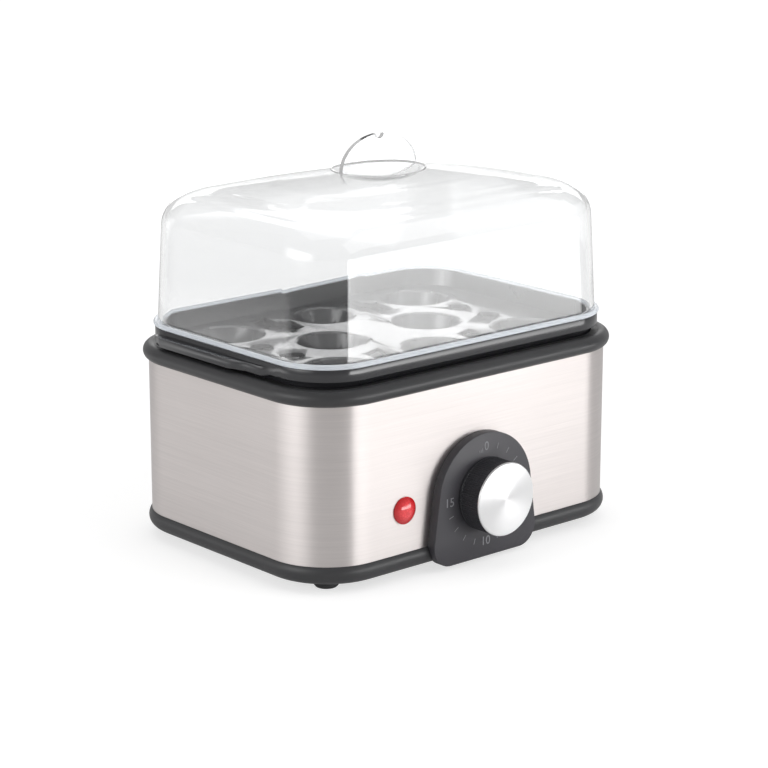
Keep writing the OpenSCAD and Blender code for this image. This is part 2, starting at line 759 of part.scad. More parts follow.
// Lifting tab on the +X side, full width in front and necked towards the back
module tab_outline() {
  root = body_w / 2 - skirt_in - 1;
  out = body_w / 2 - skirt_in + tab_out;
  neck = out - 3.4;
  full = [-46, 14];
  polygon([[root, full[0] - 6], [neck, full[0] - 5], [neck + 1.4, full[0] - 3], [out - 1.2, full[0]], [out, full[0] + 2.5],
    [out, full[1] - 3], [out - 1.4, full[1]], [neck + 1, full[1] + 4], [neck, full[1] + 7], [neck, full[1] + 18],
    [root, full[1] + 22]]);
}

module egg_tray() {
  deck_t = 2;
  lip_in = lid_in + lid_t + 0.7;
  lip_h = 1.8;
  tab_t = 4.4;
  tab_z = tray_top - 2.4;
  chamfer = 1;
  color("#2d2d30") placed() difference() {
    union() {
      wall_ring(skirt_in, skirt_in + wall, skirt_z, tray_top);
      wall_ring(skirt_in, basin_in, tray_top - deck_t, tray_top);
      wall_ring(lip_in, basin_in, tray_top - eps, tray_top + lip_h);
      wall_ring(locator_in, basin_in, ledge_z + loose, tray_top);
      translate([0, 0, tray_floor - tray_floor_t]) linear_extrude(tray_floor_t) outline(locator_in + eps);
      for (e = EGGS) translate([e[0], e[1], tray_floor - cup_drop - tray_floor_t])
        cylinder(r1 = cup_bottom_r + cup_wall, r2 = egg_r + cup_wall, h = cup_drop + tray_floor_t);
      for (q = [0, 180]) rotate(q) translate([0, 0, tab_z - tab_t]) linear_extrude(tab_t) tab_outline();
    }
    for (e = EGGS) translate([e[0], e[1], tray_floor - cup_drop - tray_floor_t]) {
      translate([0, 0, -eps]) cylinder(r1 = cup_bottom_r, r2 = egg_r, h = cup_drop + tray_floor_t + 2 * eps);
      translate([0, 0, cup_drop + tray_floor_t - chamfer]) cylinder(r1 = egg_r - 0.4, r2 = egg_r + chamfer, h = chamfer + eps);
    }
    translate([0, 0, tray_floor - 2 * tray_floor_t]) linear_extrude(4 * tray_floor_t) {
      for (q = [0, 180]) rotate(q) for (x = [-1, 1]) translate([x * slot_x, slot_y]) bolt_slot();
      for (x = [-1, 1], y = [-1, 1]) translate([x * steam_x, y * steam_y]) circle(steam_r);
      for (q = [0, 180]) rotate(q) translate([-16.5, -11.5]) circle(2);
    }
  }
}

// ---------- clear lid ----------

lid_z = tray_top + loose;                       // underside of the lid's flange
lid_shoulder = lid_z + lid_h;
lid_crown = lid_shoulder + crown_h;
CORNER_STEPS = 10;
ARC_STEPS = 8;
ARC_END = 80;

// One level of the lid: points round the outline at an inset with a corner radius, drawn in by a factor
function level(inset, corner, factor, z) = [for (q = [0 : 3], k = [0 : CORNER_STEPS])
  let (a = 90 * (q + k / CORNER_STEPS), sx = (q == 0 || q == 3) ? 1 : -1, sy = q < 2 ? 1 : -1)
  [factor * (sx * (body_w / 2 - inset - corner) + corner * cos(a)),
   factor * (sy * (body_d / 2 - inset - corner) + corner * sin(a)), z]];

// Solid dome under a skin that lies depth inside the outer one
module dome(depth, z0) {
  r = shoulder_r - depth;
  corner = body_r - lid_in - depth;
  wall_top = lid_shoulder - shoulder_r;
  lean = tan(lid_draft);
  base_in = lid_in + depth;
  top_in = base_in + lean * (wall_top - lid_z);
  arc_in = top_in + r * (1 - cos(ARC_END));
  arc_z = wall_top + r * sin(ARC_END);
  top_z = lid_crown - depth;
  levels = concat(
    [level(base_in + lean * (z0 - lid_z), corner, 1, z0), level(top_in, corner, 1, wall_top)],
    [for (k = [1 : ARC_STEPS]) let (a = ARC_END * k / ARC_STEPS)
      level(top_in + r * (1 - cos(a)), corner, 1, wall_top + r * sin(a))],
    [for (f = [0.84, 0.66, 0.45, 0.22]) level(arc_in, corner, f, arc_z + (top_z - arc_z) * (1 - f * f))]);
  n = len(levels[0]);
  rows = len(levels);
  points = concat([for (l = levels, p = l) p], [[0, 0, top_z]]);
  faces = concat(
    [[for (i = [n - 1 : -1 : 0]) n - 1 - i]],
    [for (j = [0 : rows - 2], i = [0 : n - 1], half = [0, 1])
      let (a = j * n + i, b = j * n + (i + 1) % n) half == 0 ? [a, a + n, b + n] : [a, b + n, b]],
    [for (i = [0 : n - 1]) [(rows - 1) * n + i, rows * n, (rows - 1) * n + (i + 1) % n]]);
  polyhedron(points, faces);
}

// Finger dish sunk into the crown on both sides of the grip
module finger_dish(grow) {
  dish = [35, 28, 10];
  translate([0, 0, lid_crown + 4]) scale((dish + [grow, grow, grow]) / dish[2]) sphere(dish[2], $fn = 40);
}

module grip_outline() {
  notch_r = 2.6;
  top = lid_crown + grip_h;
  rise = grip_h + 1;
  difference() {
    union() {
      translate([0, top - rise]) polygon([for (a = [0 : 6 : 180]) [grip_w / 2 * cos(a), rise * sin(a)]]);
      translate([-grip_w / 2, top - rise - 8]) square([grip_w, 8 + eps]);
    }
    translate([0, top]) circle(notch_r);
  }
}

module egg_lid() {
  grip_t = 2.6;
  bead_r = 1.25;
  bead_in = lid_flange_in + bead_r;
  color("#e8f0f4", 0.4) placed() difference() {
    union() {
      difference() {
        dome(0, lid_z);
        finger_dish(0);
      }
      translate([0, grip_t / 2, 0]) rotate([90, 0, 0]) linear_extrude(grip_t) grip_outline();
      round_outline() {
        translate([-bead_in, lid_z + bead_r]) circle(bead_r);
        translate([-lid_in - 1, lid_z]) square([lid_in + 1 - bead_in, 2 * bead_r]);
      }
    }
    difference() {
      dome(lid_t, lid_z - 1);
      finger_dish(lid_t);
    }
  }
}

feet();
base_pan();
base_screws();
body_band();
top_ring();
plate_gasket();
heating_plate();
heat_spreader();
heating_element();
element_pins();
plate_clamps();
clamp_screws();
thermostat();
thermal_fuse();
fuse_strap();
spreader_screws();
timer_body();
timer_bell();
timer_shaft();
timer_screws();
dial_plate();
knob_body();
knob_cap();
lamp_lens();
lamp_bulb();
lamp_clip();
terminal_block();
terminal_screws();
cord_gland();
gland_lock();
egg_tray();
egg_lid();
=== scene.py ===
import logging
import math
from dataclasses import dataclass, field
from enum import Enum
from typing import Callable, Sequence

import bmesh
import bpy
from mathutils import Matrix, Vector


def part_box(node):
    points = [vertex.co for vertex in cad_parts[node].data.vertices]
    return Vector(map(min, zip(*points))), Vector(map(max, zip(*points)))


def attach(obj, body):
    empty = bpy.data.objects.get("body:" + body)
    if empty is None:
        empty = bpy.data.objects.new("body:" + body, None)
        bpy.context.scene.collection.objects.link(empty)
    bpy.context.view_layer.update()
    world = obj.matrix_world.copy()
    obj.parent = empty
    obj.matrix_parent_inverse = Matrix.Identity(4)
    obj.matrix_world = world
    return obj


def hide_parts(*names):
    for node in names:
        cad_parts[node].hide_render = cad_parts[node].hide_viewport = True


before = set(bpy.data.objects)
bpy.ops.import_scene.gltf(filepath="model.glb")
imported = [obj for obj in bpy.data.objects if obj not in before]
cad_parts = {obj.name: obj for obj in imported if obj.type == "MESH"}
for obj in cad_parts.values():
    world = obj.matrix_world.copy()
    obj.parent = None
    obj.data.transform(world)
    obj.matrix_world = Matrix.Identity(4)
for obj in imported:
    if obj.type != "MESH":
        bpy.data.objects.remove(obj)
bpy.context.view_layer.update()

log = logging.getLogger("egg_cooker")
MM = 0.001
CENTRE_Y = 8.6 * MM       # the body's own centre, from front to back
DIAL_X = -1.6 * MM        # the knob's axis, from side to side
DIAL_Z = 35.5 * MM        # and its height
DIAL_FRONT = CENTRE_Y - 83.0 * MM   # the dial plate's face
HAIR = 0.001 * MM         # places nearer than this count as the same
SPARE = 1 * MM            # how far a cutting or joined solid reaches past its partner
JOIN_GAP = 0.002 * MM     # corners of a CAD copy nearer than this are one corner
FLAT_ANGLE = 0.3          # faces that turn less than this many degrees are one flat face
ROUND_ANGLE = 40.0        # edges sharper than this many degrees are rounded
ROUND_STEPS = 2           # how many faces a rounding has across
CRISP_ANGLE = 35.0        # edges sharper than this many degrees stay crisp in the shading
LID_CRISP_ANGLE = 30.0    # the same on the lid
KNOB_CRISP_ANGLE = 20.0   # and on the knob, whose ribs are shallow
NOISE_SPAN = (0.3, 0.7)   # where most of a noise's values lie
ACROSS_GRAIN = 0.25       # turns the highlight across the grain, as a share of a full turn
UPRIGHT = (math.radians(90), 0.0, 0.0)  # stands a flat primitive up, facing the front

Piece = bpy.types.Object
Node = bpy.types.Node
Socket = bpy.types.NodeSocket
Point = tuple[float, float, float]
Colour = tuple[float, float, float]


# ---- tools


def deselect() -> None:
    """Goes to object mode with nothing selected."""
    if bpy.context.object is not None and bpy.context.object.mode != "OBJECT":
        bpy.ops.object.mode_set(mode="OBJECT")
    bpy.ops.object.select_all(action="DESELECT")


def take(piece: Piece) -> Piece:
    """Makes piece the one selected and active object."""
    deselect()
    piece.hide_viewport = False
    piece.select_set(True)
    bpy.context.view_layer.objects.active = piece
    return piece


def edit(piece: Piece) -> None:
    """Opens piece in edit mode with all of it selected."""
    take(piece)
    bpy.ops.object.mode_set(mode="EDIT")
    bpy.ops.mesh.select_mode(type="VERT")
    bpy.ops.mesh.select_all(action="SELECT")


def done() -> None:
    """Leaves edit mode."""
    bpy.ops.object.mode_set(mode="OBJECT")


def pick_vertices(piece: Piece, test: Callable[[bmesh.types.BMVert], bool]) -> None:
    """Selects, in edit mode, just the vertices that pass a test.

    Args:
        piece: the mesh in edit mode.
        test: says of a vertex whether it is selected.
    """
    bpy.ops.mesh.select_all(action="DESELECT")
    mesh = bmesh.from_edit_mesh(piece.data)
    for vertex in mesh.verts:
        vertex.select = test(vertex)
    mesh.select_flush(True)
    bmesh.update_edit_mesh(piece.data)


def smooth(piece: Piece, angle: float) -> Piece:
    """Shades piece smooth, with edges sharper than angle degrees kept."""
    take(piece)
    bpy.ops.object.shade_smooth_by_angle(angle=math.radians(angle))
    return piece


def settle(piece: Piece) -> Piece:
    """Applies the object's place, turn and scale, so that it sits at the origin."""
    take(piece)
    bpy.ops.object.transform_apply(location=True, rotation=True, scale=True)
    return piece


def apply_modifiers(piece: Piece) -> Piece:
    """Applies all of the object's modifiers in order."""
    take(piece)
    for modifier in list(piece.modifiers):
        bpy.ops.object.modifier_apply(modifier=modifier.name)
    return piece


def merged_copy(node: str, name: str) -> Piece:
    """Copies a CAD node with its loose triangles joined and its flat faces made whole.

    Args:
        node: the CAD node.
        name: the new piece's name.

    Returns:
        The new piece, at the origin.
    """
    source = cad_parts[node]
    piece = bpy.data.objects.new(name, source.data.copy())
    bpy.context.scene.collection.objects.link(piece)
    piece.data.materials.clear()
    if piece.data.has_custom_normals:
        take(piece)
        bpy.ops.mesh.customdata_custom_splitnormals_clear()
    edit(piece)
    bpy.ops.mesh.remove_doubles(threshold=JOIN_GAP)
    bpy.ops.mesh.dissolve_limited(angle_limit=math.radians(FLAT_ANGLE))
    done()
    return piece


class Miter(Enum):
    """How a rounding turns an outer corner."""

    ARC = "MITER_ARC"
    SHARP = "MITER_SHARP"  # keeps flat faces with holes in them whole


class Joining(Enum):
    """What is done with two solids."""

    UNION = "UNION"
    DIFFERENCE = "DIFFERENCE"


def round_edges(piece: Piece, width: float, miter: Miter = Miter.ARC) -> Piece:
    """Rounds every sharp edge.

    Args:
        piece: the mesh object.
        width: the rounding's width in metres.
        miter: how the rounding turns an outer corner.

    Returns:
        The same piece.
    """
    modifier = piece.modifiers.new("rounding", "BEVEL")
    modifier.width = width
    modifier.segments = ROUND_STEPS
    modifier.limit_method = "ANGLE"
    modifier.angle_limit = math.radians(ROUND_ANGLE)
    modifier.miter_outer = miter.value
    modifier.use_clamp_overlap = True
    modifier.harden_normals = False
    return apply_modifiers(piece)


def combine(piece: Piece, tool: Piece, joining: Joining) -> Piece:
    """Joins tool to piece, or cuts it away, and removes it.

    Args:
        piece: the solid that stays.
        tool: the solid that is used up.
        joining: whether tool is added or cut away.

    Returns:
        The changed piece.
    """
    modifier = piece.modifiers.new("combine", "BOOLEAN")
    modifier.operation = joining.value
    modifier.solver = "EXACT"
    modifier.object = tool
    apply_modifiers(piece)
    bpy.data.objects.remove(tool)
    return piece


# ---- shader node groups


class Nodes:
    """Small helper that adds shader nodes to one tree and links them."""

    def __init__(self, tree: bpy.types.NodeTree) -> None:
        """Keeps the tree."""
        self.tree = tree

    def add(self, kind: str, **settings: object) -> Node:
        """Adds a node.

        Args:
            kind: the node's type name, without ShaderNode in front.
            settings: properties of the node.

        Returns:
            The new node.
        """
        node = self.tree.nodes.new(kind if kind.startswith("Node") else "ShaderNode" + kind)
        for key, value in settings.items():
            setattr(node, key, value)
        return node

    def link(self, a: Socket, b: Socket) -> None:
        """Links output a to input b."""
        self.tree.links.new(a, b)

    def math(self, operation: str, a: object, b: object = 0.0, clamp: bool = False) -> Socket:
        """Adds a Math node over two sockets or numbers and returns its output."""
        node = self.add("Math", operation=operation, use_clamp=clamp)
        for socket, value in zip(node.inputs, (a, b)):
            if isinstance(value, Socket):
                self.link(value, socket)
            else:
                socket.default_value = value
        return node.outputs[0]

    def noise(self, scale: float, stretch: Point, detail: float, roughness: float) -> Socket:
        """Adds noise on the piece's own place in metres.

        Args:
            scale: cells per metre.
            stretch: a factor for each axis.
            detail: how many octaves.
            roughness: how strong the finer octaves are.

        Returns:
            The noise's value.
        """
        place = self.add("TexCoord")
        mapping = self.add("Mapping")
        mapping.inputs["Scale"].default_value = stretch
        noise = self.add("TexNoise")
        noise.inputs["Scale"].default_value = scale
        noise.inputs["Detail"].default_value = detail
        noise.inputs["Roughness"].default_value = roughness
        self.link(place.outputs["Object"], mapping.inputs["Vector"])
        self.link(mapping.outputs[0], noise.inputs["Vector"])
        return noise.outputs["Fac"]

    def spread(
        self, value: Socket, low: float, high: float, a: float = 0.0, b: float = 1.0
    ) -> Socket:
        """Maps value from a..b to low..high, held at both ends."""
        node = self.add("MapRange")
        node.inputs["From Min"].default_value = a
        node.inputs["From Max"].default_value = b
        node.inputs["To Min"].default_value = low
        node.inputs["To Max"].default_value = high
        self.link(value, node.inputs["Value"])
        return node.outputs["Result"]

    def off_axis(self, x: float, z: float) -> Socket:
        """Gives the distance from the level axis that runs from front to back at x and z."""
        place = self.add("TexCoord")
        shift = self.add("VectorMath", operation="SUBTRACT")
        shift.inputs[1].default_value = (x, 0.0, z)
        flat = self.add("VectorMath", operation="MULTIPLY")
        flat.inputs[1].default_value = (1.0, 0.0, 1.0)
        length = self.add("VectorMath", operation="LENGTH")
        self.link(place.outputs["Object"], shift.inputs[0])
        self.link(shift.outputs[0], flat.inputs[0])
        self.link(flat.outputs[0], length.inputs[0])
        return length.outputs["Value"]

    def blend(self, share: Socket, a: Colour, b: Colour) -> Socket:
        """Mixes colour a into colour b by a share from 0 to 1."""
        factor, first, second, result = 0, 6, 7, 2  # the Mix node's sockets for colours
        mix = self.add("Mix", data_type="RGBA", blend_type="MIX")
        mix.inputs[first].default_value = (*a, 1)
        mix.inputs[second].default_value = (*b, 1)
        self.link(share, mix.inputs[factor])
        return mix.outputs[result]

    def relief(self, skin: Node, height: Socket, strength: float, depth: float) -> None:
        """Gives a shader a fine relief.

        Args:
            skin: the shader.
            height: the relief's height from 0 to 1.
            strength: how much of it shows.
            depth: what height 1 stands for, in metres.
        """
        bump = self.add("Bump")
        bump.inputs["Strength"].default_value = strength
        bump.inputs["Distance"].default_value = depth
        self.link(height, bump.inputs["Height"])
        self.link(bump.outputs[0], skin.inputs["Normal"])


def new_group(
    name: str, inputs: dict[str, float], outputs: Sequence[str]
) -> tuple[bpy.types.NodeTree, Nodes, Node, Node]:
    """Starts a shader node group.

    Args:
        name: the group's name.
        inputs: its number inputs and their defaults.
        outputs: its number outputs.

    Returns:
        The tree, its helper, and its input and output nodes.
    """
    tree = bpy.data.node_groups.new(name, "ShaderNodeTree")
    for key, value in inputs.items():
        socket = tree.interface.new_socket(key, in_out="INPUT", socket_type="NodeSocketFloat")
        socket.default_value = value
    for key in outputs:
        tree.interface.new_socket(key, in_out="OUTPUT", socket_type="NodeSocketFloat")
    nodes = Nodes(tree)
    return tree, nodes, nodes.add("NodeGroupInput"), nodes.add("NodeGroupOutput")


def brush_lines() -> bpy.types.NodeTree:
    """Builds the group of fine level brush lines: outputs Height, Tone and Sheen."""
    inputs = {"Fine": 1.0, "Long": 1.0}
    tree, n, given, out = new_group("brush_lines", inputs, ("Height", "Tone", "Sheen"))
    fine = n.noise(1.0, (30, 30, 2600), 2.0, 0.6)
    middle = n.noise(1.0, (12, 12, 780), 3.0, 0.6)
    wide = n.noise(1.0, (9, 9, 22), 2.0, 0.5)
    fine = n.math("MULTIPLY", fine, given.outputs["Fine"])
    both = n.math("ADD", fine, n.math("MULTIPLY", middle, given.outputs["Long"]))
    n.link(both, out.inputs["Height"])
    n.link(n.math("MULTIPLY", both, 0.5), out.inputs["Tone"])
    n.link(wide, out.inputs["Sheen"])
    return tree


def moulded_skin() -> bpy.types.NodeTree:
    """Builds the group of a moulded skin: outputs Height, its spark grain, and Patch, its gloss."""
    tree, n, given, out = new_group("moulded_skin", {"Grain": 2600.0}, ("Height", "Patch"))
    place = n.add("TexCoord")
    grain = n.add("TexNoise")
    grain.inputs["Detail"].default_value = 2.0
    n.link(place.outputs["Object"], grain.inputs["Vector"])
    n.link(given.outputs["Grain"], grain.inputs["Scale"])
    n.link(grain.outputs["Fac"], out.inputs["Height"])
    n.link(n.noise(38.0, (1, 1, 1), 3.0, 0.6), out.inputs["Patch"])
    return tree


def turned_rings() -> bpy.types.NodeTree:
    """Builds the group of fine rings turned round the knob's axis: outputs Height and Tone."""
    tree, n, given, out = new_group("turned_rings", {"Pitch": 0.00035}, ("Height", "Tone"))
    ring = n.add("TexNoise", noise_dimensions="1D")
    ring.inputs["Detail"].default_value = 3.0
    ring.inputs["Roughness"].default_value = 0.7
    ring.inputs["Scale"].default_value = 1.0
    turns = n.math("DIVIDE", n.off_axis(DIAL_X, DIAL_Z), given.outputs["Pitch"])
    n.link(turns, ring.inputs["W"])
    n.link(ring.outputs["Fac"], out.inputs["Height"])
    n.link(n.spread(ring.outputs["Fac"], 0.85, 1.0, *NOISE_SPAN), out.inputs["Tone"])
    return tree


GROUP_MAKERS: dict[str, Callable[[], bpy.types.NodeTree]] = {
    "brush_lines": brush_lines, "moulded_skin": moulded_skin, "turned_rings": turned_rings}


def group_node(nodes: Nodes, name: str, **values: float) -> Node:
    """Places a shared group, built when it is first asked for, with its input values."""
    tree = bpy.data.node_groups.get(name) or GROUP_MAKERS[name]()
    node = nodes.add("Group", node_tree=tree)
    for key, value in values.items():
        node.inputs[key].default_value = value
    return node


# ---- finishes


class Grain(Enum):
    """Which fine texture a finish carries."""

    BRUSHED = "brush_lines"
    MOULDED = "moulded_skin"
    TURNED = "turned_rings"


def start_material(name: str) -> tuple[bpy.types.Material, Nodes, Node]:
    """Starts an empty material.

    Args:
        name: its name.

    Returns:
        The material, its tree's helper and its output node.
    """
    made = bpy.data.materials.new(name)
    made.use_nodes = True
    made.node_tree.nodes.clear()
    nodes = Nodes(made.node_tree)
    return made, nodes, nodes.add("OutputMaterial")


@dataclass(frozen=True)
class Coating:
    """What all finishes share: a name, and a material that is built once.

    Attributes:
        name: the finish's name.
    """

    name: str

    def material(self) -> bpy.types.Material:
        """Returns the finish's material, built when it is first asked for."""
        made = bpy.data.materials.get(self.name + "_finish")
        if made is None:
            made, nodes, out = start_material(self.name + "_finish")
            self.shade(nodes, out)
        return made

    def shade(self, n: Nodes, out: Node) -> None:
        """Builds the finish's nodes.

        Args:
            n: the material's nodes.
            out: its output node.
        """


@dataclass(frozen=True)
class Finish(Coating):
    """An opaque finish with a fine procedural texture.

    Attributes:
        colour: its base colour, linear.
        roughness: its middle roughness.
        metallic: 1 for metal, 0 for the rest.
        grain: the texture it carries.
        bump: the texture's height in metres.
        tone: how far the colour varies, as a share.
        swing: how far the roughness varies.
        anisotropic: how far the highlight is drawn out, across the grain.
        specular: the specular level of what isn't metal.
    """

    colour: Colour
    roughness: float = 0.4
    metallic: float = 0.0
    grain: Grain = Grain.MOULDED
    bump: float = 0.00002
    tone: float = 0.06
    swing: float = 0.06
    anisotropic: float = 0.0
    specular: float = 0.5

    def shade(self, n: Nodes, out: Node) -> None:
        """Builds the opaque shader over its texture."""
        skin = n.add("BsdfPrincipled")
        n.link(skin.outputs[0], out.inputs["Surface"])
        skin.inputs["Metallic"].default_value = self.metallic
        skin.inputs["Anisotropic"].default_value = self.anisotropic
        skin.inputs["Anisotropic Rotation"].default_value = ACROSS_GRAIN
        skin.inputs["Specular IOR Level"].default_value = self.specular
        if self.grain is Grain.TURNED:
            tangent = n.add("Tangent", direction_type="RADIAL", axis="Y")
            n.link(tangent.outputs[0], skin.inputs["Tangent"])
        texture = group_node(n, self.grain.value)
        varied = texture.outputs["Patch" if self.grain is Grain.MOULDED else "Tone"]
        sheen = texture.outputs["Sheen"] if self.grain is Grain.BRUSHED else varied
        dark = [part * (1 - self.tone) for part in self.colour]
        light = [min(1.0, part * (1 + self.tone)) for part in self.colour]
        share = n.spread(varied, 0.0, 1.0, *NOISE_SPAN)
        n.link(n.blend(share, dark, light), skin.inputs["Base Color"])
        low, high = self.roughness - self.swing, self.roughness + self.swing
        n.link(n.spread(sheen, low, high, *NOISE_SPAN), skin.inputs["Roughness"])
        n.relief(skin, texture.outputs["Height"], 0.6, self.bump)


@dataclass(frozen=True)
class ClearFinish(Coating):
    """A see-through plastic that lets the lamps through.

    Attributes:
        colour: its tint, linear.
        roughness: its least surface roughness.
        ior: its index of refraction.
        weight: how much of it is clear; the rest is milky.
        cast: what the lamps' light is tinted by on its way through.
        haze: how far the roughness rises in patches.
        ripple: cells per metre of its faint ripple.
        depth: the ripple's depth in metres.
    """

    colour: Colour
    roughness: float = 0.0
    ior: float = 1.5
    weight: float = 1.0
    cast: Colour = (0.97, 0.97, 0.97)
    haze: float = 0.03
    ripple: float = 60.0
    depth: float = 0.00008

    def shade(self, n: Nodes, out: Node) -> None:
        """Builds the clear shader, which shadows and deep reflections pass straight through."""
        skin = n.add("BsdfPrincipled")
        skin.inputs["Base Color"].default_value = (*self.colour, 1)
        skin.inputs["IOR"].default_value = self.ior
        skin.inputs["Transmission Weight"].default_value = self.weight
        texture = group_node(n, "moulded_skin", Grain=self.ripple)
        rough = self.roughness
        patches = n.spread(texture.outputs["Patch"], rough, rough + self.haze, *NOISE_SPAN)
        n.link(patches, skin.inputs["Roughness"])
        n.relief(skin, texture.outputs["Height"], 0.1, self.depth)
        through = n.add("BsdfTransparent")
        through.inputs["Color"].default_value = (*self.cast, 1)
        path = n.add("LightPath")
        mix = n.add("MixShader")
        soft = n.math("MAXIMUM", path.outputs["Is Shadow Ray"], path.outputs["Is Diffuse Ray"])
        deep = n.math("GREATER_THAN", path.outputs["Glossy Depth"], 1.5)
        n.link(n.math("MAXIMUM", soft, deep), mix.inputs[0])
        n.link(skin.outputs[0], mix.inputs[1])
        n.link(through.outputs[0], mix.inputs[2])
        n.link(mix.outputs[0], out.inputs["Surface"])


@dataclass(frozen=True)
class LensFinish(Coating):
    """The lamp's red lens: faceted and glossy, with painted light: lighter towards its middle and
    darker at its rim.

    Attributes:
        rim: its colour at the edge, linear; a deeper red that is partly the lens's own and partly
            painted shade.
        core: its colour in the middle, linear; a painted glow, paler than the lens's own red.
        inner: where the painted glow starts to fade, as a share of the radius.
        outer: where it has faded out.
        facets: facets per metre.
    """

    rim: Colour = (0.50, 0.002, 0.006)
    core: Colour = (0.90, 0.075, 0.085)
    inner: float = 0.4
    outer: float = 0.95
    facets: float = 700.0

    def shade(self, n: Nodes, out: Node) -> None:
        """Builds the lens's shader, with its painted glow round the middle of the lens."""
        skin = n.add("BsdfPrincipled")
        n.link(skin.outputs[0], out.inputs["Surface"])
        low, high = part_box("lamp_lens")
        radius = (high[0] - low[0]) / 2
        reach = n.off_axis((low[0] + high[0]) / 2, (low[2] + high[2]) / 2)
        place = n.add("TexCoord")
        cells = n.add("TexVoronoi", feature="DISTANCE_TO_EDGE")
        cells.inputs["Scale"].default_value = self.facets
        n.link(place.outputs["Object"], cells.inputs["Vector"])
        facets = n.spread(cells.outputs["Distance"], 0.55, 1.0, 0.0, 0.2)
        # painted light: the colour fades from the painted glow in the middle out to the darker rim,
        # and the facets' edges darken it
        core = n.spread(reach, 1.0, 0.0, self.inner * radius, self.outer * radius)
        tone = n.blend(n.math("MULTIPLY", core, facets), self.rim, self.core)
        n.link(tone, skin.inputs["Base Color"])
        skin.inputs["Roughness"].default_value = 0.08
        skin.inputs["Coat Weight"].default_value = 0.6
        skin.inputs["Coat Roughness"].default_value = 0.04


SATIN_BLACK = Finish("satin_black", (0.034, 0.034, 0.036))
DIAL_BLACK = Finish("dial_black", (0.046, 0.044, 0.051), 0.46, bump=0.000015)
TRAY_BLACK = Finish(
    "tray_black", (0.024, 0.024, 0.027), 0.15, bump=0.000004, swing=0.03, specular=0.7)
KNOB_BLACK = Finish(
    "knob_black", (0.030, 0.030, 0.034), 0.22, bump=0.00001, swing=0.03, specular=0.8)
FOOT_RUBBER = Finish("foot_rubber", (0.028, 0.028, 0.03), 0.7, bump=0.00004)
BRUSHED_WRAP = Finish(
    "brushed_wrap", (0.755, 0.708, 0.693), 0.42, metallic=1.0, grain=Grain.BRUSHED,
    bump=0.000003, tone=0.05, swing=0.02, anisotropic=0.85)
DISH_STEEL = Finish(
    "dish_steel", (0.66, 0.66, 0.67), 0.32, metallic=1.0, grain=Grain.BRUSHED,
    bump=0.000003, tone=0.05, anisotropic=0.3)
SPUN_CAP = Finish(
    "spun_cap", (0.94, 0.94, 0.945), 0.34, metallic=1.0, grain=Grain.TURNED,
    bump=0.000004, tone=0.03, swing=0.03, anisotropic=0.7)
CAST_ALUMINIUM = Finish(
    "cast_aluminium", (0.74, 0.74, 0.75), 0.5, metallic=1.0, bump=0.00004, tone=0.08, swing=0.1)
ZINC_STEEL = Finish(
    "zinc_steel", (0.62, 0.61, 0.57), 0.34, metallic=1.0, bump=0.00001, tone=0.08, swing=0.08)
DULL_SHEATH = Finish(
    "dull_sheath", (0.28, 0.25, 0.22), 0.5, metallic=1.0, tone=0.12, swing=0.1)
SILICONE = Finish("silicone", (0.45, 0.08, 0.045), 0.6)
CERAMIC = Finish("ceramic", (0.8, 0.76, 0.68), 0.65, bump=0.00003)
TIMER_CASE = Finish("timer_case", (0.55, 0.53, 0.48), 0.5)
BLOCK_PLASTIC = Finish("block_plastic", (0.8, 0.77, 0.7), 0.45)
PRINT_GREY = Finish("print_grey", (0.23, 0.23, 0.245), 0.55, bump=0.00001)
CLEAR_LID = ClearFinish("clear_lid", (0.932, 0.936, 0.938))
# painted light: the bead's pale bluish milky share stands in for the highlights and bright
# refraction on the clear bead
LID_RIM_PAINTED_LIGHT = ClearFinish("lid_rim_painted_light", (0.86, 0.90, 0.95), 0.22, 1.45, weight=0.55)
BULB_GLASS = ClearFinish("bulb_glass", (1.0, 0.75, 0.5), cast=(0.9, 0.7, 0.5))
# the red lens, whose paler middle is a painted glow
RED_LENS_PAINTED_GLOW = LensFinish("red_lens")


# ---- sub-assemblies


@dataclass
class Assembly:
    """A sub-assembly of the cooker: it dresses its CAD nodes and adds its own pieces.

    Attributes:
        body: the CAD body that its pieces ride on.
        made: names of the pieces that it has built.
    """

    body: str = "base"
    made: list[str] = field(default_factory=list)

    def build(self) -> None:
        """Builds the sub-assembly's meshes."""

    def dress(self) -> None:
        """Gives the sub-assembly's CAD nodes their finishes."""

    def keep(self, piece: Piece, finish: Coating, slot: str, *nodes: str) -> Piece:
        """Finishes a piece: its material, its body and the CAD nodes it stands for.

        Args:
            piece: the piece, at the origin.
            finish: its finish.
            slot: not used.
            nodes: the CAD nodes that it replaces.

        Returns:
            The same piece.
        """
        piece.data.materials.clear()
        piece.data.materials.append(finish.material())
        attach(piece, self.body)
        if nodes:
            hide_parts(*nodes)
        self.made.append(piece.name)
        log.info("%s: %d faces", piece.name, len(piece.data.polygons))
        return piece

    def paint(self, finish: Coating, *nodes: str) -> None:
        """Gives CAD nodes a finish."""
        for node in nodes:
            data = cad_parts[node].data
            data.materials.clear()
            data.materials.append(finish.material())

    def restore(
        self, node: str, finish: Coating, slot: str, edge: float = 0.0,
        angle: float = CRISP_ANGLE, miter: Miter = Miter.ARC
    ) -> Piece:
        """Stands a joined, edge-rounded copy in for a CAD node.

        Args:
            node: the CAD node.
            finish: the copy's finish.
            slot: the record's material slot.
            edge: width of the edge rounding in metres, 0 for none.
            angle: edges sharper than this many degrees stay crisp in the shading.
            miter: how the rounding turns an outer corner.

        Returns:
            The new piece.
        """
        piece = merged_copy(node, node + "_finished")
        if edge:
            round_edges(piece, edge, miter)
        smooth(piece, angle)
        return self.keep(piece, finish, slot, node)


